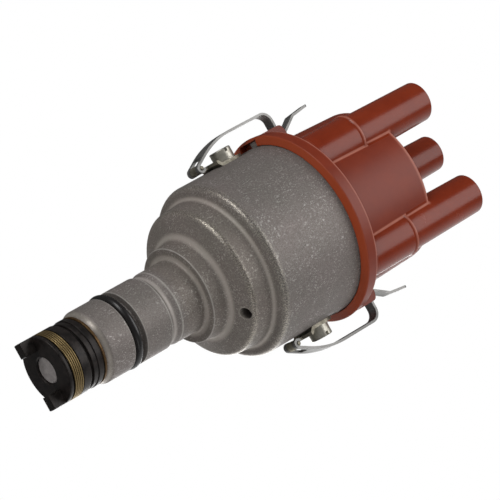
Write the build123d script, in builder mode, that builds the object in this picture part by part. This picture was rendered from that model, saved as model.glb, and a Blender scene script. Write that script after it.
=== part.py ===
"""Four-cylinder ignition distributor with a side-clip cap and a tongue-and-slot drive dog.

Millimetres. The shaft axis is Z, the cap is up. z = 0 is the lower end of the
shank's pilot diameter, and the two cap clips stand on +X and -X.
"""
import math
import os

from build123d import *

os.makedirs("parts", exist_ok=True)

# ---- driving dimensions -------------------------------------------------------
# shank and flared casing, outside
shank_r = 13.5            # fits a 27 mm bore
shank_end_z = -2.0
pilot_top_z = 9.7         # lower wall of the O-ring groove
ring_groove_top_z = 15.1
ring_groove_r = 10.9
clamp_top_z = 26.6        # the clamp plate grips the shank below this height
seat_z = 41.7             # first step of the flare, rests on the clamp plate
seat_r = 17.7
neck_r = 27.3             # second step
neck_z = 51.2
bowl_r = 32.5
bowl_z = 60.9             # lower corner of the bowl
bowl_top_z = 100.4

# casing, inside
bush_bore_r = 8.0
weight_floor_z = 53.5     # floor of the chamber for the advance weights
weight_chamber_r = 24.6
plate_ledge_z = 66.0      # ledge under the pickup plate
bowl_bore_r = 29.9

# shaft line
journal_r = 6.25
shaft_tip_r = 4.9         # turned end that carries the drive dog
shaft_tip_z = -17.8
pilot_r = 4.0             # upper end, inside the spindle
running_gap = 0.05        # radial, between a journal and its bush
dog_r = 12.45
dog_face_z = -18.4
dog_top_z = -7.8
tongue_end_z = -23.6
tongue_in_x = 7.3
tongue_t = 3.8

# cap, outside
rim_bottom_z = 97.3
rim_top_z = 103.3
rim_r = 36.0
rim_top_r = 35.3
drum_foot_r = 30.1        # round drum above the rim, slightly tapered
drum_top_r = 29.0
drum_top_z = 137.4
tower_x = 18.9            # outer towers stand at (+-x, +-x)
tower_foot_r = 7.9
tower_tip_r = 7.4
tower_top_z = 159.2
sleeve_foot_r = 8.65      # thick foot of each outer tower, ending in a small bead
sleeve_r = 8.5
sleeve_top_z = 124.6
bead_r = 8.9
centre_foot_r = 7.35
centre_tip_r = 6.7
centre_tower_z = 168.2
cap_wall = 2.9
cap_bore_r = 27.0

# sockets for the plug leads, each with a brass cup in a recess at its bottom
socket_r = 4.5
socket_depth = 16.5
cup_r = 4.1
cup_depth = 5.4
terminal_r = 2.0

# cap clips
clip_pivot_x = 34.8
clip_pivot_z = 73.25
clip_t = 0.9
clip_foot_w = 7.6
clip_hook_w = 4.8
clip_pin_r = 0.75
clip_screw_z = 85.8
lug_floor_z = 109.95      # the hook of each clip lies on this face of the cap
lug_cheek_z = 110.7


def finish(piece, label):
    """Name a finished piece and write it to its own file."""
    piece.part.label = label
    export_step(piece.part, f"parts/{label}.step")


def finish_pair(piece, label, sides=("right", "left")):
    """Write a piece, and its twin turned half a turn about the shaft."""
    for side, turn in zip(sides, (0, 180)):
        twin = piece.part.rotate(Axis.Z, turn)
        twin.label = f"{label}_{side}"
        export_step(twin, f"parts/{twin.label}.step")


# ---- casing -------------------------------------------------------------------
# One aluminium casting: plain shank with an O-ring groove, two flared steps and a
# thin-walled bowl. It carries the bushes, the pickup plate and the clip brackets.
screw_boss_r = 4.8
flat_x = 31.95            # milled flats for the clip brackets
grommet_z = 78.0
grommet_hole_r = 4.6
ledge_screw_r = 27.2      # pitch radius of the pickup plate's screws
ledge_screw_angle = 24.0
drain_pitch_r = 24.3
drain_hole_r = 2.15
drain_angle = -49.0       # about Z from +X
flat_mid_z = 86.2
flat_w = 12.6
flat_h = 14.4
cap_key_x = -32.6
cap_key_y = -3.9
cap_key_z = 96.8
cap_key_h = 3.2

outside = [
    ((bush_bore_r, shank_end_z), 0), ((11.8, shank_end_z), 0.3), ((shank_r, 0), 0.6),
    ((shank_r, pilot_top_z), 0.2), ((ring_groove_r, pilot_top_z), 0.4),
    ((ring_groove_r, ring_groove_top_z), 0.4), ((shank_r, ring_groove_top_z), 0.2),
    ((shank_r, clamp_top_z), 0.15), ((12.7, clamp_top_z + 1.0), 0.5),
    ((12.7, clamp_top_z + 2.2), 0.6), ((shank_r, clamp_top_z + 4.6), 0.6),
    ((shank_r, seat_z), 0.9), ((seat_r, seat_z), 0.25),
    ((18.2, 47.8), 1.9), ((neck_r, neck_z), 2.4),
    ((27.9, bowl_z - 0.8), 1.5), ((bowl_r, bowl_z), 2.4), ((bowl_r, bowl_top_z), 0.3),
]
inside = [
    ((bowl_bore_r + 0.6, bowl_top_z), 0), ((bowl_bore_r, bowl_top_z - 0.8), 0),
    ((bowl_bore_r, plate_ledge_z), 0), ((weight_chamber_r, plate_ledge_z), 0),
    ((weight_chamber_r, weight_floor_z), 1.0), ((bush_bore_r, weight_floor_z), 0),
    ((bush_bore_r, 36.5), 0), ((bush_bore_r + 0.8, 36.0), 0),
    ((bush_bore_r + 0.8, 14.0), 0), ((bush_bore_r, 13.5), 0),
]
with BuildPart() as casing:
    with BuildSketch(Plane.XZ):
        with BuildLine():
            corners = outside + inside
            FilletPolyline(*[p for p, _ in corners], radius=[r for _, r in corners], close=True)
        make_face()
    revolve(axis=Axis.Z)
    # inner bosses and outer flats behind the clip brackets, with their tapped holes
    for side in (1, -1):
        with BuildSketch(Plane.YZ.offset(side * 27.4)):
            with Locations((0, clip_screw_z)):
                Circle(screw_boss_r)
        extrude(amount=side * 3.5)
        with BuildSketch(Plane.YZ.offset(side * flat_x)):
            with Locations((0, flat_mid_z)):
                Rectangle(flat_w, flat_h)
        extrude(amount=side * 2, mode=Mode.SUBTRACT)
        with BuildSketch(Plane.YZ.offset(side * 27.0)):
            with Locations((0, clip_screw_z)):
                Circle(2.0)
        extrude(amount=side * 6, mode=Mode.SUBTRACT)
    # spot face and hole for the lead grommet, on the side away from the drain
    with BuildSketch(Plane.XZ.offset(-31.9)):
        with Locations((0, grommet_z)):
            Circle(7.2)
    extrude(amount=-3, mode=Mode.SUBTRACT)
    with BuildSketch(Plane.XZ.offset(-28.0)):
        with Locations((0, grommet_z)):
            Circle(grommet_hole_r)
    extrude(amount=-6, mode=Mode.SUBTRACT)
    # tapped holes in the ledge for the pickup plate
    with BuildSketch(Plane.XY.offset(plate_ledge_z)):
        with PolarLocations(ledge_screw_r, 2, start_angle=ledge_screw_angle):
            Circle(1.5)
    extrude(amount=-4.5, mode=Mode.SUBTRACT)
    # drain hole, drilled up through the face of the second step into the weight chamber
    with BuildSketch(Plane.XY.offset(seat_z)):
        with PolarLocations(drain_pitch_r, 1, start_angle=drain_angle):
            Circle(drain_hole_r)
    extrude(amount=weight_floor_z + 1.0 - seat_z, mode=Mode.SUBTRACT)
    # key that sets the cap's angle
    with BuildSketch(Plane.XY.offset(cap_key_z)):
        with Locations((cap_key_x, cap_key_y)):
            Rectangle(3.2, 2.2)
    extrude(amount=cap_key_h)
finish(casing, "casing")

# sintered bushes, pressed into both ends of the shank
for label, z0, z1 in (("lower_bush", shank_end_z + 0.2, 12.5), ("upper_bush", 37.5, weight_floor_z)):
    with BuildPart() as bush:
        with BuildSketch(Plane.XZ):
            with BuildLine():
                FilletPolyline(
                    (journal_r + running_gap, z0), (bush_bore_r, z0), (bush_bore_r, z1),
                    (journal_r + running_gap, z1), radius=0.3, close=True)
            make_face()
        revolve(axis=Axis.Z)
    finish(bush, label)

# O-ring that seals the shank in its bore
o_ring_cord = 3.4
with BuildPart() as o_ring:
    with BuildSketch(Plane.XZ):
        with Locations((ring_groove_r + o_ring_cord / 2, 12.2)):
            Circle(o_ring_cord / 2)
    revolve(axis=Axis.Z)
finish(o_ring, "shank_o_ring")

# ---- shaft line ---------------------------------------------------------------
# The shaft runs in the two bushes. Its turned lower tip carries the pinned dog, and
# its upper pilot carries the spindle, which the advance weights turn a few degrees.
carrier_z = 54.6
carrier_t = 2.0
pilot_top = 88.0
dog_pin_z = -14.75
with BuildPart() as shaft:
    with BuildSketch(Plane.XZ):
        with BuildLine():
            FilletPolyline(
                (0, shaft_tip_z), (shaft_tip_r, shaft_tip_z), (shaft_tip_r, dog_top_z),
                (journal_r, dog_top_z), (journal_r, carrier_z), (5.2, carrier_z),
                (5.2, carrier_z + carrier_t), (pilot_r, carrier_z + carrier_t),
                (pilot_r, pilot_top), (0, pilot_top),
                radius=[0, 0.5, 0, 0.2, 0, 0, 0, 0, 0.4, 0], close=True)
        make_face()
    revolve(axis=Axis.Z)
    with BuildSketch(Plane.XZ.offset(-8)):
        with Locations((0, dog_pin_z)):
            Circle(1.5)
    extrude(amount=16, mode=Mode.SUBTRACT)
    with BuildSketch(Plane.XY.offset(pilot_top)):
        Circle(1.4)
    extrude(amount=-9, mode=Mode.SUBTRACT)
finish(shaft, "shaft")

# drive dog: a turned steel collar with two tongues and a groove for the pin's ring
ring_groove_z = (-17.0, -12.4)
with BuildPart() as dog:
    with BuildSketch(Plane.XZ):
        with BuildLine():
            FilletPolyline(
                (shaft_tip_r + 0.4, dog_face_z), (dog_r, dog_face_z),
                (dog_r, ring_groove_z[0]), (11.5, ring_groove_z[0]),
                (11.5, ring_groove_z[1]), (dog_r, ring_groove_z[1]),
                (dog_r, dog_top_z - 1.3), (11.3, dog_top_z - 0.9), (11.3, dog_top_z),
                (shaft_tip_r, dog_top_z), (shaft_tip_r, dog_face_z + 0.4),
                radius=[0, 0.5, 0.15, 0.2, 0.2, 0.15, 0.4, 0.2, 0, 0, 0], close=True)
        make_face()
    revolve(axis=Axis.Z)
    with BuildSketch(Plane.XY.offset(dog_face_z + 0.6)):
        Circle(dog_r)
        Rectangle(2 * tongue_in_x, 4 * dog_r, mode=Mode.SUBTRACT)
        Rectangle(2 * dog_r, tongue_t, mode=Mode.INTERSECT)
    extrude(amount=tongue_end_z - dog_face_z - 0.6)
    fillet(dog.faces().sort_by(Axis.Z)[:2].edges(), radius=0.3)
    with BuildSketch(Plane.XZ.offset(-14)):
        with Locations((0, dog_pin_z)):
            Circle(1.5)
    extrude(amount=28, mode=Mode.SUBTRACT)
finish(dog, "drive_dog")

# cross pin through dog and shaft
with BuildPart() as dog_pin:
    with BuildSketch(Plane.XZ.offset(-11.3)):
        with Locations((0, dog_pin_z)):
            Circle(1.48)
    extrude(amount=22.6)
    chamfer(dog_pin.edges(), 0.3)
finish(dog_pin, "dog_pin")

# close-wound wire ring that keeps the pin in
ring_wire_r = 0.38
ring_pitch = 0.72
ring_turns = 6
with BuildPart() as pin_ring:
    with BuildSketch(Plane.XZ):
        for turn in range(ring_turns):
            with Locations((12.1, dog_pin_z + (turn - (ring_turns - 1) / 2) * ring_pitch)):
                Circle(ring_wire_r)
    revolve(axis=Axis.Z)
finish(pin_ring, "pin_retaining_ring")

# thrust washers and shims between the dog and the shank's end, from the dog up
washer_stack = [
    ("thrust_washer", 2.0, 12.2), ("spacer_washer", 2.0, 12.5),
    ("steel_shim", 0.7, 12.1), ("bronze_shim", 0.9, 12.5),
]
washer_z = dog_top_z
for label, thickness, radius in washer_stack:
    with BuildPart() as washer:
        with BuildSketch(Plane.XY.offset(washer_z)):
            Circle(radius)
            Circle(journal_r + 0.1, mode=Mode.SUBTRACT)
        extrude(amount=thickness)
        outer_edges = washer.edges().filter_by(GeomType.CIRCLE).group_by(SortBy.RADIUS)[-1]
        fillet(outer_edges, radius=0.2)
    finish(washer, label)
    washer_z += thickness

# washer on the chamber floor, under the weight carrier
with BuildPart() as carrier_washer:
    with BuildSketch(Plane.XY.offset(weight_floor_z + 0.1)):
        Circle(10.5)
        Circle(journal_r + 0.1, mode=Mode.SUBTRACT)
    extrude(amount=carrier_z - weight_floor_z - 0.1)
finish(carrier_washer, "carrier_washer")

# ---- centrifugal advance ------------------------------------------------------
# Two weights swing out on posts of the carrier plate and turn the spindle's foot
# ahead of the shaft. Each weight is the other one turned half a turn.
carrier_top = carrier_z + carrier_t
weight_post = (-12.5, 10.2)
weight_z = carrier_top + 0.3
weight_t = 4.2
foot_half_x = 15.0
foot_half_y = 5.5
spring_post_r = 1.1
spring_z = weight_z + weight_t + 1.9
with BuildPart() as carrier:
    with BuildSketch(Plane.XY.offset(carrier_z)):
        Circle(21.5)
        Circle(5.2, mode=Mode.SUBTRACT)
        with PolarLocations(16.0, 2, start_angle=90):
            SlotOverall(14, 5, mode=Mode.SUBTRACT)
    extrude(amount=carrier_t)
    with BuildSketch(Plane.XY.offset(carrier_top)):
        with Locations(weight_post, (-weight_post[0], -weight_post[1])):
            Circle(2.0)
    extrude(amount=5.6)
    with BuildSketch(Plane.XY.offset(carrier_top)):
        with Locations((-18.6, -3), (18.6, 3)):
            Circle(spring_post_r)
    extrude(amount=7.6)
finish(carrier, "weight_carrier")

with BuildPart() as weight:
    with BuildSketch(Plane.XY.offset(weight_z)):
        Circle(19.8)
        with Locations((0, 13.2)):
            Rectangle(33.4, 13.6, mode=Mode.INTERSECT)
        with Locations(weight_post):
            Circle(2.05, mode=Mode.SUBTRACT)
    extrude(amount=weight_t)
    fillet(weight.edges().filter_by(Axis.Z).sort_by(Axis.Y)[:2], radius=1.0)
finish_pair(weight, "advance_weight", ("a", "b"))

with BuildPart() as spindle:
    with BuildSketch(Plane.XY.offset(weight_z)):
        Rectangle(2 * foot_half_x, 2 * foot_half_y)
        Circle(15.6, mode=Mode.INTERSECT)
    extrude(amount=3.6)
    with BuildSketch(Plane.XY.offset(weight_z + 3.6)):
        with Locations((-9.4, -3), (9.4, 3)):
            Circle(spring_post_r)
    extrude(amount=3.6)
    with BuildSketch(Plane.XY.offset(weight_z)):
        Circle(6.2)
    extrude(amount=96 - weight_z)
    # stepped top with a flat that keys the rotor arm
    with BuildSketch(Plane.XY.offset(96)):
        Circle(5.2)
        with Locations((0, 6.2)):
            Rectangle(12, 3.6, mode=Mode.SUBTRACT)
    extrude(amount=8)
    with BuildSketch(Plane.XY.offset(weight_z)):
        Circle(pilot_r + running_gap)
    extrude(amount=pilot_top + 0.3 - weight_z, mode=Mode.SUBTRACT)
    with BuildSketch(Plane.XY.offset(91.8)):
        Circle(3.4)
    extrude(amount=20, mode=Mode.SUBTRACT)
    with BuildSketch(Plane.XY.offset(80)):
        Circle(1.8)
    extrude(amount=20, mode=Mode.SUBTRACT)
finish(spindle, "advance_spindle")

# screw that holds the spindle down on the shaft
with BuildPart() as spindle_screw:
    with BuildSketch(Plane.XY.offset(91.95)):
        Circle(3.0)
    extrude(amount=2.4)
    with BuildSketch(Plane.XY.offset(80)):
        Circle(1.38)
    extrude(amount=12)
    with BuildSketch(Plane.XY.offset(94.35)):
        Rectangle(8, 0.8)
    extrude(amount=-1.1, mode=Mode.SUBTRACT)
finish(spindle_screw, "spindle_screw")

# two light tension springs, each hooked from a carrier post to a foot post
with BuildPart() as advance_springs:
    for x, y in ((-14.0, -3), (14.0, 3)):
        with BuildSketch(Plane.YZ.offset(x - 2.6)):
            with Locations((y, spring_z)):
                Circle(1.3)
        extrude(amount=5.2)
        for side in (1, -1):
            with BuildSketch(Plane.XY.offset(spring_z - 0.3)):
                with Locations((x + side * 4.6, y)):
                    Circle(1.9)
                    Circle(spring_post_r + 0.05, mode=Mode.SUBTRACT)
                with Locations((x + side * 2.7, y)):
                    Rectangle(1.2, 0.8)
            extrude(amount=0.6)
finish(advance_springs, "advance_springs")

# ---- pickup -------------------------------------------------------------------
# Magnets in a moulded ring on the spindle pass a sealed sensor on the plate.
plate_t = 1.5
plate_top = plate_ledge_z + plate_t
with BuildPart() as pickup_plate:
    with BuildSketch(Plane.XY.offset(plate_ledge_z)):
        Circle(29.5)
        Circle(10.5, mode=Mode.SUBTRACT)
        with PolarLocations(ledge_screw_r, 2, start_angle=ledge_screw_angle):
            Circle(1.7, mode=Mode.SUBTRACT)
        with Locations((0, 29.5)):
            Rectangle(10, 7, mode=Mode.SUBTRACT)
        with PolarLocations(20, 2, start_angle=-25, angular_range=-130):
            Circle(1.3, mode=Mode.SUBTRACT)
    extrude(amount=plate_t)
finish(pickup_plate, "pickup_plate")

with BuildPart() as plate_screws:
    with BuildSketch(Plane.XY.offset(plate_top)):
        with PolarLocations(ledge_screw_r, 2, start_angle=ledge_screw_angle):
            Circle(2.5)
    extrude(amount=1.9)
    with BuildSketch(Plane.XY.offset(plate_top)):
        with PolarLocations(ledge_screw_r, 2, start_angle=ledge_screw_angle):
            Circle(1.48)
    extrude(amount=-5.5)
    with BuildSketch(Plane.XY.offset(plate_top + 1.9)):
        with PolarLocations(ledge_screw_r, 2, start_angle=ledge_screw_angle):
            Rectangle(7, 0.8)
    extrude(amount=-0.9, mode=Mode.SUBTRACT)
finish(plate_screws, "plate_screws")

trigger_r = 12.6
trigger_z = 71.0
with BuildPart() as trigger_ring:
    with BuildSketch(Plane.XY.offset(trigger_z)):
        Circle(trigger_r)
        Circle(6.2, mode=Mode.SUBTRACT)
    extrude(amount=8)
    fillet(trigger_ring.edges().group_by(Axis.Z)[-1].sort_by(SortBy.RADIUS)[-1], radius=0.6)
    for quarter in range(4):
        with BuildSketch(Plane.YZ.rotated((0, 0, 90 * quarter)).offset(9.6)):
            with Locations((0, trigger_z + 4)):
                Circle(2.0)
        extrude(amount=4, mode=Mode.SUBTRACT)
finish(trigger_ring, "trigger_ring")

with BuildPart() as ring_magnets:
    for quarter in range(4):
        with BuildSketch(Plane.YZ.rotated((0, 0, 90 * quarter)).offset(9.6)):
            with Locations((0, trigger_z + 4)):
                Circle(1.96)
        extrude(amount=2.7)
finish(ring_magnets, "ring_magnets")

with BuildPart() as pickup_module:
    with BuildSketch(Plane.XY.offset(plate_top)):
        Circle(27.5)
        Circle(13.8, mode=Mode.SUBTRACT)
        with Locations((0, -20)):
            Rectangle(40, 22, mode=Mode.INTERSECT)
    extrude(amount=5.0)
    with BuildSketch(Plane.XY.offset(plate_top)):
        with Locations((0, -18.5)):
            Rectangle(13, 9.2)
    extrude(amount=11.0)
    fillet(pickup_module.edges().group_by(Axis.Z)[-1], radius=0.8)
finish(pickup_module, "pickup_module")

# rubber grommet for the pickup's leads, in the bowl's wall
with BuildPart() as grommet:
    with BuildSketch(Plane.XZ.offset(-31.9)):
        with Locations((0, grommet_z)):
            Circle(6.4)
    extrude(amount=-2.0)
    fillet(grommet.edges().group_by(Axis.Y)[-1], radius=0.9)
    with BuildSketch(Plane.XZ.offset(-31.9)):
        with Locations((0, grommet_z)):
            Circle(grommet_hole_r)
    extrude(amount=3.4)
    with BuildSketch(Plane.XZ.offset(-26)):
        with Locations((0, grommet_z)):
            Circle(2.4)
    extrude(amount=-10, mode=Mode.SUBTRACT)
finish(grommet, "lead_grommet")

# ---- rotor arm ----------------------------------------------------------------
# Moulded arm keyed to the spindle, with a brass blade riveted on top.
arm_z = 104.2
arm_top_z = 109.0
blade_tip_r = 24.3
with BuildPart() as rotor_arm:
    with BuildSketch(Plane.XY.offset(92.5)):
        Circle(9.6)
    extrude(amount=arm_z - 92.5)
    with BuildSketch(Plane.XY.offset(arm_z)):
        Circle(9.6)
        with BuildLine():
            Polyline((0, -9.6), (21.0, -5.5), (21.0, 5.5), (0, 9.6), close=True)
        make_face()
    extrude(amount=arm_top_z - arm_z)
    fillet(rotor_arm.edges().filter_by(Axis.Z), radius=1.2)
    with BuildSketch(Plane.XY.offset(92)):
        Circle(6.3)
    extrude(amount=4.1, mode=Mode.SUBTRACT)
    with BuildSketch(Plane.XY.offset(92)):
        Circle(5.25)
        with Locations((0, 6.25)):
            Rectangle(12, 3.6, mode=Mode.SUBTRACT)
    extrude(amount=12.15, mode=Mode.SUBTRACT)
finish(rotor_arm, "rotor_arm")

with BuildPart() as rotor_blade:
    with BuildSketch(Plane.XY.offset(arm_top_z)):
        with BuildLine():
            Polyline(
                (-4.4, -4.2), (18, -3.4), (blade_tip_r + 1, -5.4), (blade_tip_r + 1, 5.4),
                (18, 3.4), (-4.4, 4.2), close=True)
        make_face()
        Circle(blade_tip_r, mode=Mode.INTERSECT)
    extrude(amount=1.3)
    with BuildSketch(Plane.XY.offset(arm_top_z + 1.3)):
        with Locations((15.5, 0)):
            Circle(1.5)
    extrude(amount=0.6)
    # domed contact under the carbon brush
    with BuildSketch(Plane.XY.offset(arm_top_z + 1.3)):
        Circle(3.2)
    extrude(amount=1.7)
    fillet(rotor_blade.edges().group_by(Axis.Z)[-1], radius=1.2)
finish(rotor_blade, "rotor_blade")

# ---- cap ----------------------------------------------------------------------
# Compression moulding: a bevelled rim, a round drum, four outer towers that swell out
# of the drum, and one in the centre. The clips hook over its two lugs.
lug_half_w = 5.1
lug_out_x = 35.4
slot_half_w = clip_hook_w / 2 + 0.5
notch_y = (-5.2, 5.8)
brush_boss_r = 5.3
brush_boss_z = 114.6
brush_r = 2.4
brush_bore_top = 127.0
terminal_bottom_z = 105.2
socket_floor_z = tower_top_z - socket_depth
centre_floor_z = centre_tower_z - socket_depth
cup_floor_z = socket_floor_z - cup_depth
centre_cup_floor_z = centre_floor_z - cup_depth
corners_at = [(sx * tower_x, sy * tower_x) for sx in (1, -1) for sy in (1, -1)]
with BuildPart() as cap:
    # rim, with its bevelled underside
    with BuildSketch(Plane.XZ):
        with BuildLine():
            FilletPolyline(
                (0, bowl_top_z + 0.05), (bowl_r + 0.15, bowl_top_z + 0.05),
                (bowl_r + 0.15, rim_bottom_z), (rim_r, rim_bottom_z + 0.9),
                (rim_top_r + 0.2, rim_top_z), (0, rim_top_z),
                radius=[0, 0, 0.3, 0.5, 0.9, 0], close=True)
        make_face()
    revolve(axis=Axis.Z)
    # drum
    with BuildSketch(Plane.XZ):
        with BuildLine():
            FilletPolyline(
                (0, rim_top_z - 1), (drum_foot_r, rim_top_z - 1), (drum_top_r, drum_top_z),
                (0, drum_top_z), radius=[0, 0, 2.0, 0], close=True)
        make_face()
    revolve(axis=Axis.Z)
    # outer towers, slightly tapered: a thick foot, a bead and a rounded mouth
    for x, y in corners_at:
        with BuildSketch(Plane(origin=(x, y, 0), x_dir=(1, 0, 0), z_dir=(0, -1, 0))):
            with BuildLine():
                FilletPolyline(
                    (0, rim_top_z - 1), (sleeve_foot_r, rim_top_z - 1),
                    (sleeve_r, sleeve_top_z - 1.8), (bead_r, sleeve_top_z - 1.1),
                    (bead_r, sleeve_top_z - 0.5), (tower_foot_r, sleeve_top_z),
                    (tower_tip_r, tower_top_z), (0, tower_top_z),
                    radius=[0, 0, 0.8, 0.25, 0.25, 0.5, 1.0, 0], close=True)
            make_face()
        revolve(axis=Axis((x, y, 0), (0, 0, 1)))
    with BuildSketch(Plane.XZ):
        with BuildLine():
            FilletPolyline(
                (0, rim_top_z), (centre_foot_r, rim_top_z), (centre_foot_r, drum_top_z),
                (centre_tip_r, centre_tower_z), (0, centre_tower_z),
                radius=[0, 0, 0, 1.0, 0], close=True)
        make_face()
    revolve(axis=Axis.Z)
    # clip lugs with a slot for the hook
    for side in (1, -1):
        with BuildSketch(Plane.XZ.offset(-lug_half_w)):
            with BuildLine():
                FilletPolyline(
                    (side * 27.5, rim_top_z - 1), (side * lug_out_x, rim_top_z - 1),
                    (side * lug_out_x, lug_cheek_z), (side * 32.6, lug_cheek_z + 0.9),
                    (side * 27.5, lug_cheek_z + 0.9), radius=[0, 0, 1.8, 1.0, 0], close=True)
            make_face()
        extrude(amount=2 * lug_half_w)
        with BuildSketch(Plane.XY.offset(lug_floor_z)):
            with Locations((side * (31.0 + 3.4), 0)):
                Rectangle(6.8, 2 * slot_half_w)
        extrude(amount=4, mode=Mode.SUBTRACT)
    # hollow inside, brush boss, and the key's notch in the rim
    with BuildSketch(Plane.XY.offset(bowl_top_z - 1)):
        Circle(cap_bore_r)
    extrude(amount=drum_top_z - cap_wall - bowl_top_z + 1, taper=1.2, mode=Mode.SUBTRACT)
    with BuildSketch(Plane.XY.offset(brush_boss_z)):
        Circle(brush_boss_r)
    extrude(amount=drum_top_z - brush_boss_z - 1)
    with BuildSketch(Plane.XY.offset(rim_bottom_z - 1)):
        with Locations((-33.2, (notch_y[0] + notch_y[1]) / 2)):
            Rectangle(3.2, notch_y[1] - notch_y[0])
    extrude(amount=bowl_top_z + 0.05 - rim_bottom_z + 1, mode=Mode.SUBTRACT)
    # sockets and the holes of the moulded-in terminals
    with BuildSketch(Plane.XY.offset(tower_top_z)):
        with Locations(*corners_at):
            Circle(socket_r)
    extrude(amount=-socket_depth, mode=Mode.SUBTRACT)
    with BuildSketch(Plane.XY.offset(centre_tower_z)):
        Circle(socket_r)
    extrude(amount=-socket_depth, mode=Mode.SUBTRACT)
    with BuildSketch(Plane.XY.offset(cup_floor_z)):
        with Locations(*corners_at):
            Circle(cup_r)
    extrude(amount=cup_depth, mode=Mode.SUBTRACT)
    with BuildSketch(Plane.XY.offset(centre_cup_floor_z)):
        Circle(cup_r)
    extrude(amount=cup_depth, mode=Mode.SUBTRACT)
    with BuildSketch(Plane.XY.offset(terminal_bottom_z - 8)):
        with Locations(*corners_at):
            Circle(terminal_r)
    extrude(amount=cup_floor_z - terminal_bottom_z + 8, mode=Mode.SUBTRACT)
    with BuildSketch(Plane.XY.offset(brush_boss_z - 1)):
        Circle(brush_r + 0.1)
    extrude(amount=brush_bore_top - brush_boss_z + 1, mode=Mode.SUBTRACT)
    with BuildSketch(Plane.XY.offset(brush_bore_top)):
        Circle(terminal_r)
    extrude(amount=centre_cup_floor_z - brush_bore_top, mode=Mode.SUBTRACT)
finish(cap, "cap")

# brass terminals: a stem through the moulding, with a cup under each socket
cup_wall = 0.8
for label, places, stem_z, cup_z in (
        ("side_terminals", corners_at, terminal_bottom_z, cup_floor_z),
        ("centre_terminal", [(0, 0)], brush_bore_top, centre_cup_floor_z)):
    with BuildPart() as terminals:
        with BuildSketch(Plane.XY.offset(stem_z)):
            with Locations(*places):
                Circle(terminal_r)
        extrude(amount=cup_z - stem_z)
        with BuildSketch(Plane.XY.offset(cup_z)):
            with Locations(*places):
                Circle(cup_r)
        extrude(amount=cup_depth)
        with BuildSketch(Plane.XY.offset(cup_z + cup_depth)):
            with Locations(*places):
                Circle(cup_r - cup_wall)
        extrude(amount=cup_wall - cup_depth, mode=Mode.SUBTRACT)
    finish(terminals, label)

# carbon brush, held down on the rotor blade by a small coil spring
brush_bottom_z = arm_top_z + 3.05
brush_top_z = 121.0
with BuildPart() as brush:
    with BuildSketch(Plane.XY.offset(brush_bottom_z)):
        Circle(brush_r)
    extrude(amount=brush_top_z - brush_bottom_z)
    chamfer(brush.edges().group_by(Axis.Z)[-1], 0.4)
finish(brush, "carbon_brush")

spring_turns = 7
with BuildPart() as brush_spring:
    with BuildSketch(Plane.XZ):
        pitch = (brush_bore_top - brush_top_z - 0.2) / spring_turns
        for turn in range(spring_turns):
            with Locations((1.85, brush_top_z + 0.1 + pitch * (turn + 0.5))):
                Circle(0.3)
        with Locations((1.85, (brush_bore_top + brush_top_z) / 2)):
            Rectangle(0.2, brush_bore_top - brush_top_z - 0.4)
    revolve(axis=Axis.Z)
finish(brush_spring, "brush_spring")

# ---- cap clips ----------------------------------------------------------------
# Each clip is a tapered spring-steel leaf, rolled round a pin at its foot. The pin sits
# in the knuckle of a folded bracket that one cheese-head screw holds on the bowl.
bracket_t = 1.2
bracket_half_w = 6.0
stem_half_w = 1.9
stem_x = 34.0
knuckle_r = clip_pin_r + 0.95
with BuildPart() as bracket:
    # side view: plate on the flat, fold outwards, stem down to the pin
    with BuildSketch(Plane.XZ.offset(-bracket_half_w)):
        with BuildLine():
            spine = FilletPolyline(
                (flat_x + bracket_t / 2, 92.3), (flat_x + bracket_t / 2, 80.2),
                (stem_x, 79.0), (stem_x, clip_pivot_z), radius=0.9)
            offset(spine, amount=bracket_t / 2, kind=Kind.INTERSECTION, side=Side.BOTH)
        make_face()
    extrude(amount=2 * bracket_half_w)
    # front view: round head about the screw, waist down to the knuckle
    with BuildSketch(Plane.YZ.offset(30)):
        with Locations((0, clip_screw_z)):
            Circle(bracket_half_w)
        with BuildLine():
            Polyline(
                (-bracket_half_w, clip_screw_z), (-bracket_half_w, 78.6), (-stem_half_w, 76.9),
                (-stem_half_w, 72), (stem_half_w, 72), (stem_half_w, 76.9),
                (bracket_half_w, 78.6), (bracket_half_w, clip_screw_z), close=True)
        make_face()
    extrude(amount=10, mode=Mode.INTERSECT)
    with BuildSketch(Plane.XZ.offset(-stem_half_w)):
        with Locations((clip_pivot_x, clip_pivot_z)):
            Circle(knuckle_r)
    extrude(amount=2 * stem_half_w)
    with BuildSketch(Plane.XZ.offset(-stem_half_w)):
        with Locations((clip_pivot_x, clip_pivot_z)):
            Circle(clip_pin_r)
    extrude(amount=2 * stem_half_w, mode=Mode.SUBTRACT)
    with BuildSketch(Plane.YZ.offset(30)):
        with Locations((0, clip_screw_z)):
            Circle(2.1)
    extrude(amount=10, mode=Mode.SUBTRACT)
finish_pair(bracket, "clip_bracket")

with BuildPart() as clip_pin:
    with BuildSketch(Plane.XZ.offset(-clip_foot_w / 2 - 0.3)):
        with Locations((clip_pivot_x, clip_pivot_z)):
            Circle(clip_pin_r)
    extrude(amount=clip_foot_w + 0.6)
    chamfer(clip_pin.edges(), 0.2)
finish_pair(clip_pin, "clip_pin")

screw_head_r = 4.05
screw_head_t = 3.6
lock_washer_t = 0.8
washer_x = flat_x + bracket_t
with BuildPart() as lock_washer:
    with BuildSketch(Plane.YZ.offset(washer_x)):
        with Locations((0, clip_screw_z)):
            Circle(screw_head_r + 0.1)
            Circle(2.15, mode=Mode.SUBTRACT)
    extrude(amount=lock_washer_t)
finish_pair(lock_washer, "clip_screw_washer")

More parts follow.
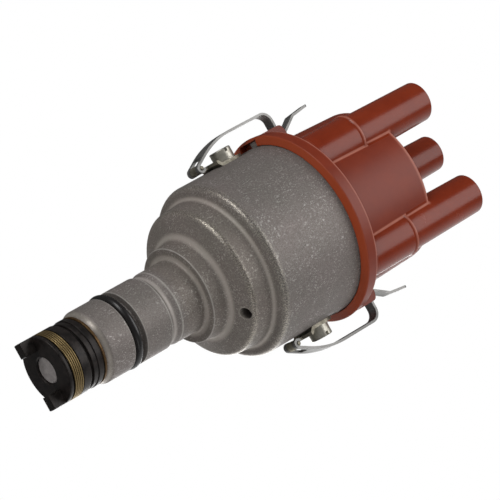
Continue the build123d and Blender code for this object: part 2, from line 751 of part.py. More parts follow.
with BuildPart() as clip_screw:
    with BuildSketch(Plane.YZ.offset(washer_x + lock_washer_t)):
        with Locations((0, clip_screw_z)):
            Circle(screw_head_r)
    extrude(amount=screw_head_t)
    fillet(clip_screw.edges().group_by(Axis.X)[-1], radius=0.5)
    with BuildSketch(Plane.YZ.offset(washer_x + lock_washer_t)):
        with Locations((0, clip_screw_z)):
            Circle(1.95)
    extrude(amount=-6.6)
    with BuildSketch(Plane.YZ.offset(washer_x + lock_washer_t + screw_head_t)):
        with Locations((0, clip_screw_z)):
            Rectangle(9, 1.1)
    extrude(amount=-1.5, mode=Mode.SUBTRACT)
finish_pair(clip_screw, "clip_screw")

# leaf: side view as one bent strip, then tapered and slotted in the front view
roll_r = clip_pin_r + 0.1 + clip_t / 2
lean = math.radians(28)
roll_end = math.radians(125)
foot = (clip_pivot_x + roll_r * math.cos(lean), clip_pivot_z - roll_r * math.sin(lean))
knee_z = 76.2
knee = (foot[0] + (knee_z - foot[1]) * math.tan(lean), knee_z)
bow_r = 34.0
back = (knee[0] + bow_r * (1 - math.cos(lean)), knee_z + bow_r * math.sin(lean))
hook_z = lug_floor_z + 0.15 + clip_t / 2
turn_r = 3.75
heel_r = 2.3
heel_turn = math.radians(122)
heel_x = 34.6
heel_top = (heel_x - heel_r * math.sin(heel_turn), hook_z + heel_r * (1 - math.cos(heel_turn)))
tab_knee = (36.05, heel_top[1] + (36.05 - heel_top[0]) / math.tan(math.radians(32)))
tab_tip = (37.0, 127.0)
with BuildPart() as spring_clip:
    with BuildSketch(Plane.XZ.offset(-clip_foot_w / 2)):
        with BuildLine():
            roll = CenterArc((clip_pivot_x, clip_pivot_z), roll_r,
                             math.degrees(roll_end), 360 - math.degrees(roll_end) - math.degrees(lean))
            rise = Line(foot, knee)
            bow = JernArc(knee, rise % 1, bow_r, math.degrees(lean))
            stand = Line(bow @ 1, ((bow @ 1).X, hook_z - turn_r))
            top_turn = JernArc(stand @ 1, (0, 1), turn_r, 90)
            reach = Line(top_turn @ 1, (heel_x, hook_z))
            heel = JernArc((heel_x, hook_z), (-1, 0), heel_r, -math.degrees(heel_turn))
            tab = FilletPolyline(heel @ 1, tab_knee, tab_tip, radius=1.5)
            offset(amount=clip_t / 2, side=Side.BOTH, closed=True)
        make_face()
    extrude(amount=clip_foot_w)
    with BuildSketch(Plane.YZ.offset(30)):
        with BuildLine():
            half_foot = clip_foot_w / 2
            half_hook = clip_hook_w / 2
            FilletPolyline(
                (-half_foot, 70), (half_foot, 70), (half_foot, 78), (half_hook, 108),
                (half_hook, 127.6), (-half_hook, 127.6), (-half_hook, 108), (-half_foot, 78),
                radius=[0, 0, 6, 20, 1.6, 1.6, 20, 6], close=True)
        make_face()
    extrude(amount=16, mode=Mode.INTERSECT)
    with BuildSketch(Plane.YZ.offset(30)):
        with Locations((0, clip_pivot_z)):
            Rectangle(2 * stem_half_w + 0.5, 6.4)
    extrude(amount=16, mode=Mode.SUBTRACT)
finish_pair(spring_clip, "spring_clip")
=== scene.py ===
import math

import bpy
from mathutils import Matrix, Vector


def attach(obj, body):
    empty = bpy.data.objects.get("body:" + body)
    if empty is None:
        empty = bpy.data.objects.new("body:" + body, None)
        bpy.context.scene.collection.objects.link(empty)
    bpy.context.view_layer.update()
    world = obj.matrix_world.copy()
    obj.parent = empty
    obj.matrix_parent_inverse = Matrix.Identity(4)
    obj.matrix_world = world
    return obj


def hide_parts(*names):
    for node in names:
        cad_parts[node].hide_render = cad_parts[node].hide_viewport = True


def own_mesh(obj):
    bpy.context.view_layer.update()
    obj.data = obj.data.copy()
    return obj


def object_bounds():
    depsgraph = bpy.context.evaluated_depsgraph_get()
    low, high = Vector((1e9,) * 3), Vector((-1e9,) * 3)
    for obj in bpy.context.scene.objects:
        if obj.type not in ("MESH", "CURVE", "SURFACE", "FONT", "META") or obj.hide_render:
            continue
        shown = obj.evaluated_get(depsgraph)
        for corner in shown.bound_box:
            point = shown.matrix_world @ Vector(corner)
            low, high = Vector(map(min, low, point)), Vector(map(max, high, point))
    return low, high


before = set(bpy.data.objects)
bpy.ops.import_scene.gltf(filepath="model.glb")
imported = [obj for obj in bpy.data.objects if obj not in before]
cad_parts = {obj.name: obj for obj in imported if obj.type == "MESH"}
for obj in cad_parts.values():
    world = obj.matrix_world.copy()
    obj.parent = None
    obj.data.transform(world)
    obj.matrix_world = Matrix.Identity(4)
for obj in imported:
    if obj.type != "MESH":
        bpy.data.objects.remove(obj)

bpy.ops.object.select_all(action="DESELECT")
cad_box = [list(corner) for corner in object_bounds()]

# ---- camera -----------------------------------------------------------------------
# A long lens looks up at the drive end from below, rolled so that the shaft runs
# from the lower left to the upper right of the frame.
camera_data = bpy.data.cameras.new("camera")
camera_data.sensor_width = 36.0
camera_data.lens = 219.6
camera_data.clip_start = 0.05
camera_data.clip_end = 50.0
camera = bpy.data.objects.new("camera", camera_data)
bpy.context.collection.objects.link(camera)
camera_right = Vector((0.48435, -0.49948, 0.71828))
camera_back = Vector((-0.01381, -0.82527, -0.56456))
camera_up = camera_back.cross(camera_right).normalized()
camera_right = camera_up.cross(camera_back).normalized()
camera.matrix_world = Matrix.Translation((-0.01644, -0.87926, -0.52463)) @ Matrix(
    (camera_right, camera_up, camera_back.normalized())).transposed().to_4x4()
bpy.context.scene.camera = camera
bpy.context.scene.view_settings.view_transform = "Standard"

# ---- studio -----------------------------------------------------------------------
# A plain pale floor under the drive tongues, a white backdrop, the darker room in front
# of it, and large soft lamps. The floor is one-sided, so that the drive end can be seen.
room_side = (-0.76, -0.56, -0.33)
world = bpy.data.worlds.new("studio")
bpy.context.scene.world = world
world.use_nodes = True
world_nodes = world.node_tree.nodes
world_links = world.node_tree.links
for node in list(world_nodes):
    world_nodes.remove(node)
world_out = world_nodes.new("ShaderNodeOutputWorld")
world_fill = world_nodes.new("ShaderNodeBackground")
world_fill.inputs["Color"].default_value = (1.0, 1.0, 1.0, 1.0)
world_fill.inputs["Strength"].default_value = 0.48
world_white = world_nodes.new("ShaderNodeBackground")
world_white.inputs["Color"].default_value = (1.0, 1.0, 1.0, 1.0)
world_white.inputs["Strength"].default_value = 1.0
world_path = world_nodes.new("ShaderNodeLightPath")
world_way = world_nodes.new("ShaderNodeTexCoord")
world_turn = world_nodes.new("ShaderNodeVectorMath")
world_turn.operation = "DOT_PRODUCT"
world_turn.inputs[1].default_value = room_side
world_links.new(world_way.outputs["Generated"], world_turn.inputs[0])
world_room = world_nodes.new("ShaderNodeMapRange")
world_room.interpolation_type = "SMOOTHSTEP"
world_room.inputs["From Min"].default_value = -1.0
world_room.inputs["From Max"].default_value = -0.40
world_room.inputs["To Min"].default_value = 1.0
world_room.inputs["To Max"].default_value = 0.08
world_links.new(world_turn.outputs["Value"], world_room.inputs["Value"])
world_gloss = world_nodes.new("ShaderNodeBackground")
world_links.new(world_room.outputs["Result"], world_gloss.inputs["Color"])
world_gloss.inputs["Strength"].default_value = 1.0
world_seen = world_nodes.new("ShaderNodeMath")
world_seen.operation = "MAXIMUM"
world_links.new(world_path.outputs["Is Camera Ray"], world_seen.inputs[0])
world_links.new(world_path.outputs["Is Transmission Ray"], world_seen.inputs[1])
world_lit = world_nodes.new("ShaderNodeMixShader")
world_links.new(world_path.outputs["Is Glossy Ray"], world_lit.inputs[0])
world_links.new(world_fill.outputs[0], world_lit.inputs[1])
world_links.new(world_gloss.outputs[0], world_lit.inputs[2])
world_mix = world_nodes.new("ShaderNodeMixShader")
world_links.new(world_seen.outputs[0], world_mix.inputs[0])
world_links.new(world_lit.outputs[0], world_mix.inputs[1])
world_links.new(world_white.outputs[0], world_mix.inputs[2])
world_links.new(world_mix.outputs[0], world_out.inputs["Surface"])

floor_z = cad_box[0][2]
bpy.ops.mesh.primitive_plane_add(size=6.0, location=(0, 0, floor_z))
floor = bpy.context.object
floor.name = "studio_floor"
floor.visible_shadow = False
floor.visible_glossy = False
paper = bpy.data.materials.new("studio_paper")
paper.use_nodes = True
paper_nodes = paper.node_tree.nodes
paper_links = paper.node_tree.links
paper_bsdf = paper_nodes["Principled BSDF"]
paper_bsdf.inputs["Base Color"].default_value = (0.86, 0.86, 0.86, 1.0)
paper_bsdf.inputs["Roughness"].default_value = 0.9
paper_side = paper_nodes.new("ShaderNodeNewGeometry")
paper_clear = paper_nodes.new("ShaderNodeBsdfTransparent")
paper_mix = paper_nodes.new("ShaderNodeMixShader")
paper_links.new(paper_side.outputs["Backfacing"], paper_mix.inputs[0])
paper_links.new(paper_bsdf.outputs[0], paper_mix.inputs[1])
paper_links.new(paper_clear.outputs[0], paper_mix.inputs[2])
paper_links.new(paper_mix.outputs[0], paper_nodes["Material Output"].inputs["Surface"])
floor.data.materials.append(paper)

middle = Vector((0.0, 0.0, 0.07))
for name, place, size, power in (
        ("tall_softbox", (0.08, -0.72, 0.80), 0.95, 6.0),
        ("side_softbox", (-0.95, -0.50, -0.25), 0.42, 3.0),
        ("end_softbox", (-0.72, -0.36, -0.62), 0.32, 1.4),
        ("low_softbox", (0.80, -0.45, -0.45), 0.60, 0.65),
        ("back_softbox", (0.25, 1.00, 0.45), 0.80, 4.5)):
    lamp_data = bpy.data.lights.new(name, "AREA")
    lamp_data.shape = "DISK"
    lamp_data.size = size
    lamp_data.energy = power
    lamp = bpy.data.objects.new(name, lamp_data)
    bpy.context.collection.objects.link(lamp)
    lamp.location = place
    lamp.rotation_mode = "QUATERNION"
    lamp.rotation_quaternion = (middle - Vector(place)).to_track_quat("-Z", "Y")

# ---- casing -----------------------------------------------------------------------
# One sand-cast aluminium body, tumbled with stone so that it is matt and full of tiny
# bright facets, rubbed smoother along its edges, and drilled for its drain. Its flecks, corners
# and sharp edges carry painted glints and highlights (the corners warmer), its inward curves a
# painted sheen, and its drain painted shade.
def new_finish(name, colour, metallic, roughness):
    """A material with one surface shader; returns it with its nodes, its links and the shader."""
    material = bpy.data.materials.new(name)
    material.use_nodes = True
    nodes = material.node_tree.nodes
    shader = nodes["Principled BSDF"]
    shader.inputs["Base Color"].default_value = (*colour, 1.0)
    shader.inputs["Metallic"].default_value = metallic
    shader.inputs["Roughness"].default_value = roughness
    return material, nodes, material.node_tree.links, shader


def speckle(nodes, links, scale, detail=2.0, roughness=0.5, squeeze=(1, 1, 1), turned=(0, 0, 0)):
    """Noise in object space, as grey from 0 to 1. squeeze draws the grain out along an axis."""
    place = nodes.new("ShaderNodeTexCoord")
    turn = nodes.new("ShaderNodeMapping")
    turn.inputs["Scale"].default_value = squeeze
    turn.inputs["Rotation"].default_value = turned
    noise = nodes.new("ShaderNodeTexNoise")
    noise.inputs["Scale"].default_value = scale
    noise.inputs["Detail"].default_value = detail
    noise.inputs["Roughness"].default_value = roughness
    links.new(place.outputs["Object"], turn.inputs["Vector"])
    links.new(turn.outputs["Vector"], noise.inputs["Vector"])
    return noise.outputs["Fac"]


def ramp(nodes, links, grey, *stops):
    """Colour stops (place, (r, g, b)) laid over a grey value."""
    band = nodes.new("ShaderNodeValToRGB")
    cells = band.color_ramp.elements
    while len(cells) < len(stops):
        cells.new(0.5)
    for cell, (place, colour) in zip(cells, stops):
        cell.position = place
        cell.color = (*colour, 1.0)
    links.new(grey, band.inputs["Fac"])
    return band.outputs["Color"]


def blend_colours(nodes, links, share, first, second, mode="MIX"):
    """Two colours mixed by a grey share, each one a socket or a fixed colour."""
    mix = nodes.new("ShaderNodeMix")
    mix.data_type = "RGBA"
    mix.blend_type = mode
    for socket, value in ((mix.inputs[0], share), (mix.inputs[6], first), (mix.inputs[7], second)):
        if isinstance(value, (int, float)):
            socket.default_value = value
        elif isinstance(value, tuple):
            socket.default_value = (*value, 1.0)
        else:
            links.new(value, socket)
    return mix.outputs[2]


def arithmetic(nodes, links, kind, *values):
    """One step of arithmetic on sockets and numbers."""
    step = nodes.new("ShaderNodeMath")
    step.operation = kind
    for socket, value in zip(step.inputs, values):
        if isinstance(value, (int, float)):
            socket.default_value = value
        else:
            links.new(value, socket)
    return step.outputs[0]


def scaled(nodes, links, grey, low, high):
    """A grey value from 0 to 1 spread between two numbers."""
    spread = nodes.new("ShaderNodeMapRange")
    spread.inputs["To Min"].default_value = low
    spread.inputs["To Max"].default_value = high
    links.new(grey, spread.inputs["Value"])
    return spread.outputs["Result"]


def relief(nodes, links, shader, height, strength, depth):
    """Fine relief on a surface, depth in metres."""
    bump = nodes.new("ShaderNodeBump")
    bump.inputs["Strength"].default_value = strength
    bump.inputs["Distance"].default_value = depth
    links.new(height, bump.inputs["Height"])
    links.new(bump.outputs["Normal"], shader.inputs["Normal"])


def dress(material, *names):
    """Puts a finish on pieces that keep their shape from the frame."""
    for name in names:
        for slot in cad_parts[name].material_slots:
            slot.material = material


def turn_radius(nodes, links):
    """Distance from the shaft axis and height along it, in metres."""
    place = nodes.new("ShaderNodeTexCoord")
    parts = nodes.new("ShaderNodeSeparateXYZ")
    links.new(place.outputs["Object"], parts.inputs[0])
    across = arithmetic(nodes, links, "MULTIPLY", parts.outputs["X"], parts.outputs["X"])
    deep = arithmetic(nodes, links, "MULTIPLY", parts.outputs["Y"], parts.outputs["Y"])
    squared = arithmetic(nodes, links, "ADD", across, deep)
    return arithmetic(nodes, links, "SQRT", squared), parts.outputs["Z"]


def ring_mask(nodes, links, radius, height, *rings):
    """1 on turned corners, each (radius, height, reach) in mm, fading to 0 at its reach."""
    covered = None
    for ring_r, ring_z, reach in rings:
        off_r = arithmetic(nodes, links, "SUBTRACT", radius, ring_r / 1000)
        off_z = arithmetic(nodes, links, "SUBTRACT", height, ring_z / 1000)
        off_r = arithmetic(nodes, links, "MULTIPLY", off_r, off_r)
        off_z = arithmetic(nodes, links, "MULTIPLY", off_z, off_z)
        away = arithmetic(nodes, links, "SQRT", arithmetic(nodes, links, "ADD", off_r, off_z))
        band = nodes.new("ShaderNodeMapRange")
        band.interpolation_type = "SMOOTHSTEP"
        band.inputs["From Min"].default_value = 0.0
        band.inputs["From Max"].default_value = reach / 1000
        band.inputs["To Min"].default_value = 1.0
        band.inputs["To Max"].default_value = 0.0
        links.new(away, band.inputs["Value"])
        near = band.outputs["Result"]
        covered = near if covered is None else arithmetic(nodes, links, "MAXIMUM", covered, near)
    return covered


def above(nodes, links, grey, low, high):
    """0 below low, 1 above high, smooth between."""
    step = nodes.new("ShaderNodeMapRange")
    step.interpolation_type = "SMOOTHSTEP"
    step.inputs["From Min"].default_value = low
    step.inputs["From Max"].default_value = high
    links.new(grey, step.inputs["Value"])
    return step.outputs["Result"]


def below(nodes, links, grey, low, high):
    """1 below low, 0 above high, smooth between."""
    return arithmetic(nodes, links, "SUBTRACT", 1.0, above(nodes, links, grey, low, high))


def both(nodes, links, first, second):
    """Two masks multiplied: only where both apply."""
    return arithmetic(nodes, links, "MULTIPLY", first, second)


def either(nodes, links, first, second):
    """The stronger of two masks: where one or the other applies."""
    return arithmetic(nodes, links, "MAXIMUM", first, second)


def tint(nodes, links, tone, mask, share, colour):
    """A tone taken towards a colour by a share, where a mask applies."""
    return blend_colours(nodes, links, scaled(nodes, links, mask, 0.0, share), tone, colour)


def axis_distance(nodes, links, axis_x, axis_y):
    """Distance from an upright axis at a given place, in metres."""
    place = nodes.new("ShaderNodeTexCoord")
    off = nodes.new("ShaderNodeVectorMath")
    off.operation = "SUBTRACT"
    off.inputs[1].default_value = (axis_x, axis_y, 0.0)
    links.new(place.outputs["Object"], off.inputs[0])
    flat = nodes.new("ShaderNodeVectorMath")
    flat.operation = "MULTIPLY"
    flat.inputs[1].default_value = (1.0, 1.0, 0.0)
    links.new(off.outputs["Vector"], flat.inputs[0])
    far = nodes.new("ShaderNodeVectorMath")
    far.operation = "LENGTH"
    links.new(flat.outputs["Vector"], far.inputs[0])
    return far.outputs["Value"]


# (radius, height, reach) of the casting's turned rings, in mm
worn_corners = ((26.9, 51.9, 1.9), (32.0, 62.0, 2.2))
shank_chamfer = (12.65, -1.0, 1.5)
sharp_edges = ((17.7, 41.8, 0.5), (13.5, 9.7, 0.5), (13.5, 15.1, 0.5), (13.5, 26.6, 0.6),
               (13.5, 31.2, 0.6), (32.5, 100.4, 0.6))
inner_curves = ((14.5, 41.5, 1.5), (19.4, 48.1, 1.9), (28.0, 60.3, 1.8), (12.7, 28.4, 1.3))
# where a mask begins and ends, in metres
flats_from_z = (0.0310, 0.0350)
flats_to_z = (0.0600, 0.0625)
drain_pitch_r = 0.0243
drain_turn = math.radians(-49)
burr_edge_r = (0.0022, 0.0027)
burr_to_z = (0.0505, 0.0525)
bore_edge_r = (0.0022, 0.0024)
bore_from_z = (0.0490, 0.0515)

cast, nodes, links, shader = new_finish("tumbled_cast_aluminium", (0.215, 0.190, 0.177), 0.50, 0.58)
radius, height = turn_radius(nodes, links)

# the sand's grain, cloudy patches, and bright dots and scratches that come in groups; their pale
# colour is partly real scratching and partly painted glints of the tiny facets
grain = speckle(nodes, links, 2300.0, 3.0, 0.6)
patches = speckle(nodes, links, 60.0, 3.0, 0.6)
zones = above(nodes, links, speckle(nodes, links, 130.0, 2.0, 0.6), 0.40, 0.62)
dots = above(nodes, links, speckle(nodes, links, 2000.0, 1.0, 0.5), 0.62, 0.72)
long_scratch = speckle(nodes, links, 2400.0, 1.0, 0.5, (1.0, 0.3, 0.6), (0.5, 0.3, 0.9))
cross_scratch = speckle(nodes, links, 2400.0, 1.0, 0.5, (0.35, 1.0, 0.3), (0.2, 0.8, -0.6))
scratches = either(nodes, links, above(nodes, links, long_scratch, 0.62, 0.74),
                   above(nodes, links, cross_scratch, 0.62, 0.74))
flecks_and_glints = both(nodes, links, either(nodes, links, dots, scratches),
              scaled(nodes, links, zones, 0.35, 1.0))

# where the casting is worn, turned, curved inwards, or lies between the steps; the inward curves
# get a painted sheen
corners = ring_mask(nodes, links, radius, height, *worn_corners)
lead_in = ring_mask(nodes, links, radius, height, shank_chamfer)
painted_arris_highlights = ring_mask(nodes, links, radius, height, *sharp_edges)
painted_hollow_sheen = ring_mask(nodes, links, radius, height, *inner_curves)
flats = both(nodes, links, above(nodes, links, height, *flats_from_z),
             below(nodes, links, height, *flats_to_z))
wear_and_glint = both(nodes, links, corners, above(nodes, links, grain, 0.47, 0.62))

# the drain hole: a pale burr round its mouth, and painted shade further in
drain_off = axis_distance(nodes, links, drain_pitch_r * math.cos(drain_turn),
                          drain_pitch_r * math.sin(drain_turn))
burr = both(nodes, links, below(nodes, links, drain_off, *burr_edge_r),
            below(nodes, links, height, *burr_to_z))
painted_bore_shade = both(nodes, links, below(nodes, links, drain_off, *bore_edge_r),
            above(nodes, links, height, *bore_from_z))

tone = ramp(nodes, links, grain, (0.30, (0.150, 0.132, 0.123)), (0.52, (0.206, 0.182, 0.170)),
            (0.72, (0.262, 0.235, 0.221)))
# pale flecks: partly real scratches, partly painted glints
tone = tint(nodes, links, tone, flecks_and_glints, 0.38, (0.68, 0.66, 0.64))
# painted sheen: the inward curves made lighter, as light caught in them
tone = tint(nodes, links, tone, painted_hollow_sheen, 0.85, (0.46, 0.42, 0.395))
warmer = blend_colours(nodes, links, 1.0, tone, (1.02, 0.99, 0.90), "MULTIPLY")
tone = tint(nodes, links, tone, flats, 0.45, warmer)
# worn corners made warmer and lighter: partly real burnish, partly painted glint
tone = tint(nodes, links, tone, wear_and_glint, 0.55, (0.74, 0.69, 0.57))
# the turned chamfer made paler: partly turned metal, partly a painted highlight
tone = tint(nodes, links, tone, lead_in, 0.45, (0.50, 0.46, 0.40))
# painted highlight lines along the sharp turned edges
tone = tint(nodes, links, tone, painted_arris_highlights, 0.55, (0.50, 0.48, 0.45))
tone = tint(nodes, links, tone, burr, 0.30, (0.60, 0.57, 0.50))
# painted shade inside the drain's bore
tone = tint(nodes, links, tone, painted_bore_shade, 0.85, (0.030, 0.024, 0.020))
cloud = ramp(nodes, links, patches, (0.3, (0.90, 0.92, 0.90)), (0.7, (1.0, 0.98, 0.98)))
links.new(blend_colours(nodes, links, 1.0, tone, cloud, "MULTIPLY"), shader.inputs["Base Color"])

# rubbed places are barer and glossier, and pitted where the corners took knocks
polish = either(nodes, links, scaled(nodes, links, flecks_and_glints, 0.0, 0.5), corners)
polish = either(nodes, links, polish, lead_in)
links.new(scaled(nodes, links, wear_and_glint, 0.50, 1.0), shader.inputs["Metallic"])
links.new(scaled(nodes, links, polish, 0.60, 0.31), shader.inputs["Roughness"])
pits = scaled(nodes, links, speckle(nodes, links, 950.0, 2.0, 0.6), 0.0, 2.4)
smooth_end = arithmetic(nodes, links, "SUBTRACT", 1.0, scaled(nodes, links, lead_in, 0.0, 0.85))
rough_skin = arithmetic(nodes, links, "ADD", both(nodes, links, grain, smooth_end),
                        both(nodes, links, corners, pits))
relief(nodes, links, shader, rough_skin, 0.5, 0.00014)
dress(cast, "casing")

# ---- drive dog and washers --------------------------------------------------------
# The shaft's drive: a steel dog with two tongues on a cross pin, and the washers that take
# its thrust against the shank. All are blackened in hot oil.
black_oxide, nodes, links, shader = new_finish("oil_blackened_steel", (0.016, 0.013, 0.012),
                                               0.5, 0.38)
wear = speckle(nodes, links, 500.0, 4.0, 0.6)
tone = ramp(nodes, links, wear, (0.35, (0.011, 0.009, 0.0085)), (0.75, (0.034, 0.027, 0.024)))
links.new(tone, shader.inputs["Base Color"])
links.new(scaled(nodes, links, wear, 0.30, 0.55), shader.inputs["Roughness"])
relief(nodes, links, shader, wear, 0.15, 0.0001)
dress(black_oxide, "drive_dog", "thrust_washer", "spacer_washer", "steel_shim")

# ---- shaft and advance ------------------------------------------------------------
# The turned steel shaft with its cross pin, and the carrier, weights and spindle that
# advance the spark. They are left bright and lightly oiled.
bright, nodes, links, shader = new_finish("turned_steel", (0.50, 0.47, 0.455), 0.40, 0.36)
wear = speckle(nodes, links, 700.0, 3.0, 0.6)
tone = ramp(nodes, links, wear, (0.3, (0.40, 0.365, 0.355)), (0.7, (0.58, 0.54, 0.525)))
links.new(tone, shader.inputs["Base Color"])
links.new(scaled(nodes, links, wear, 0.45, 0.28), shader.inputs["Roughness"])
dress(bright, "shaft", "dog_pin", "weight_carrier", "advance_weight_a",
      "advance_weight_b", "advance_spindle")

# ---- wound pin ring ---------------------------------------------------------------
# The ring that keeps the cross pin in its dog: five close turns of passivated wire, wound
# in one piece into the dog's groove, with its ends cut square.
def wind_coil(name, wire_r, coil_r, low_z, climb, turns, sides, steps):
    """A coil of round wire about the shaft axis, climb metres up each turn, its ends closed."""
    bpy.ops.mesh.primitive_circle_add(vertices=sides, radius=wire_r, fill_type="NOTHING",
                                      location=(coil_r, 0, low_z), rotation=(math.pi / 2, 0, 0))
    wound = bpy.context.object
    wound.name = name
    bpy.ops.object.transform_apply(location=True, rotation=True, scale=True)
    winding = wound.modifiers.new("winding", "SCREW")
    winding.axis = "Z"
    winding.angle = 2 * math.pi * turns
    winding.screw_offset = climb * turns
    winding.steps = steps * turns
    winding.render_steps = steps * turns
    winding.use_merge_vertices = False
    bpy.ops.object.modifier_apply(modifier="winding")
    bpy.ops.object.mode_set(mode="EDIT")
    bpy.ops.mesh.select_mode(type="EDGE")
    bpy.ops.mesh.select_all(action="DESELECT")
    bpy.ops.mesh.select_non_manifold()
    bpy.ops.mesh.fill_holes(sides=sides)
    bpy.ops.mesh.select_all(action="SELECT")
    bpy.ops.mesh.normals_make_consistent(inside=False)
    bpy.ops.object.mode_set(mode="OBJECT")
    bpy.ops.object.shade_smooth_by_angle(angle=math.radians(50))
    return wound


wire_r = 0.00038
wire_pitch = 0.00076
wire_turns = 5
wire_coil_r = 0.0121
wire_mid_z = -0.01470
crest_r = (0.01226, 0.01246)

wire, nodes, links, shader = new_finish("passivated_wire", (0.30, 0.22, 0.10), 0.9, 0.38)
wear = speckle(nodes, links, 220.0, 2.0, 0.5)
radius, height = turn_radius(nodes, links)
crest = above(nodes, links, radius, *crest_r)
brushed = ramp(nodes, links, wear, (0.3, (0.24, 0.170, 0.076)), (0.7, (0.33, 0.243, 0.115)))
# painted shade: the wire dark below the crest of each turn, as in the grooves between turns
tone = blend_colours(nodes, links, crest, (0.085, 0.060, 0.029), brushed)
links.new(tone, shader.inputs["Base Color"])
links.new(scaled(nodes, links, wear, 0.50, 0.42), shader.inputs["Roughness"])
relief(nodes, links, shader, wear, 0.05, 0.00003)

coil = wind_coil("wound_pin_ring", wire_r, wire_coil_r, wire_mid_z - wire_turns * wire_pitch / 2,
                 wire_pitch, wire_turns, sides=12, steps=64)
coil.data.materials.append(wire)
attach(coil, "drive")
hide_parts("pin_retaining_ring")
dress(wire, "pin_retaining_ring")

# ---- bronze shim and bushes -------------------------------------------------------
# The thin bronze shim against the end of the shank, and the two bushes pressed into it,
# all brown with old oil.
tarnished, nodes, links, shader = new_finish("tarnished_bronze", (0.12, 0.07, 0.03), 0.8, 0.45)
wear = speckle(nodes, links, 600.0, 3.0, 0.6)
tone = ramp(nodes, links, wear, (0.3, (0.07, 0.040, 0.018)), (0.7, (0.17, 0.10, 0.042)))
links.new(tone, shader.inputs["Base Color"])
dress(tarnished, "bronze_shim", "lower_bush", "upper_bush")

# ---- O-ring and lead gland --------------------------------------------------------
# Moulded black rubber. The O-ring sits on the floor of its groove in the shank, with a
# flash line round its crown, and the gland is pushed into the casing's back.
rubber, nodes, links, shader = new_finish("black_rubber", (0.010, 0.009, 0.009), 0.0, 0.28)
bloom = speckle(nodes, links, 300.0, 3.0, 0.6)
links.new(scaled(nodes, links, bloom, 0.22, 0.34), shader.inputs["Roughness"])
relief(nodes, links, shader, bloom, 0.06, 0.0001)
dress(rubber, "shank_o_ring", "lead_grommet")

groove_floor_r = 0.0109
ring_cord_r = 0.00155
ring_bite = 0.00005
ring_mid_r = groove_floor_r + ring_cord_r - ring_bite
ring_mid_z = 0.01175
crown_share = 0.97
flash_rise = 1.004
bpy.ops.mesh.primitive_torus_add(major_radius=ring_mid_r, minor_radius=ring_cord_r,
                                 major_segments=160, minor_segments=28, location=(0, 0, ring_mid_z))
o_ring = bpy.context.object
o_ring.name = "fitted_o_ring"
bpy.ops.object.transform_apply(location=True, rotation=True, scale=True)
for point in o_ring.data.vertices:
    point.select = math.hypot(point.co.x, point.co.y) > ring_mid_r + crown_share * ring_cord_r
bpy.ops.object.mode_set(mode="EDIT")
bpy.ops.mesh.select_mode(type="VERT")
bpy.ops.transform.resize(value=(flash_rise, flash_rise, 1.0))
bpy.ops.mesh.select_all(action="SELECT")
bpy.ops.mesh.normals_make_consistent(inside=False)
bpy.ops.object.mode_set(mode="OBJECT")
bpy.ops.object.shade_smooth_by_angle(angle=math.radians(60))
o_ring.data.materials.append(rubber)
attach(o_ring, "housing")
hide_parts("shank_o_ring")

# ---- black mouldings --------------------------------------------------------------
# The pickup, the trigger ring with its magnets, the rotor arm and the carrier's washer,
# moulded in black plastic, and the pressed carbon brush. All are matt and hidden.
black_moulding, nodes, links, shader = new_finish("black_moulding", (0.02, 0.02, 0.02), 0.0, 0.5)
bloom = speckle(nodes, links, 400.0, 3.0, 0.6)
links.new(scaled(nodes, links, bloom, 0.4, 0.6), shader.inputs["Roughness"])
relief(nodes, links, shader, bloom, 0.1, 0.0001)
dress(black_moulding, "carrier_washer", "trigger_ring", "pickup_module", "rotor_arm",
      "ring_magnets", "carbon_brush")

# ---- plated plate and brackets ----------------------------------------------------
# Pressed steel with dull zinc plating: the pickup plate, and the brackets and pins that
# the clips hang on.
zinc, nodes, links, shader = new_finish("zinc_plated_steel", (0.26, 0.24, 0.195), 0.75, 0.48)
shader.inputs["Specular Tint"].default_value = (0.55, 0.54, 0.50, 1.0)
wear = speckle(nodes, links, 500.0, 3.0, 0.6)
tone = ramp(nodes, links, wear, (0.3, (0.15, 0.136, 0.105)), (0.7, (0.31, 0.288, 0.235)))
links.new(tone, shader.inputs["Base Color"])
links.new(scaled(nodes, links, wear, 0.54, 0.38), shader.inputs["Roughness"])
relief(nodes, links, shader, wear, 0.12, 0.00006)
dress(zinc, "pickup_plate", "clip_bracket_right", "clip_bracket_left", "clip_pin_right",
      "clip_pin_left")

# ---- screws -----------------------------------------------------------------------
# Screws and their washers, in a brighter zinc plating: two hold the brackets to the bowl,
# the others the plate and the spindle.
screw_zinc, nodes, links, shader = new_finish("zinc_plated_screws", (0.50, 0.48, 0.42), 0.7, 0.36)
wear = speckle(nodes, links, 600.0, 3.0, 0.6)
tone = ramp(nodes, links, wear, (0.3, (0.34, 0.322, 0.27)), (0.7, (0.58, 0.556, 0.49)))
links.new(tone, shader.inputs["Base Color"])
links.new(scaled(nodes, links, wear, 0.44, 0.28), shader.inputs["Roughness"])
relief(nodes, links, shader, wear, 0.12, 0.00006)
dress(screw_zinc, "plate_screws", "spindle_screw", "clip_screw_right", "clip_screw_left",
      "clip_screw_washer_right", "clip_screw_washer_left")

# ---- brass contacts ---------------------------------------------------------------
# The rotor's blade, and the terminals moulded into the cap's sockets, turned and pressed
# from brass.
brass, nodes, links, shader = new_finish("turned_brass", (0.62, 0.45, 0.20), 1.0, 0.3)
wear = speckle(nodes, links, 500.0, 3.0, 0.6)
tone = ramp(nodes, links, wear, (0.3, (0.42, 0.30, 0.13)), (0.7, (0.70, 0.54, 0.27)))
links.new(tone, shader.inputs["Base Color"])
dress(brass, "rotor_blade", "side_terminals", "centre_terminal")

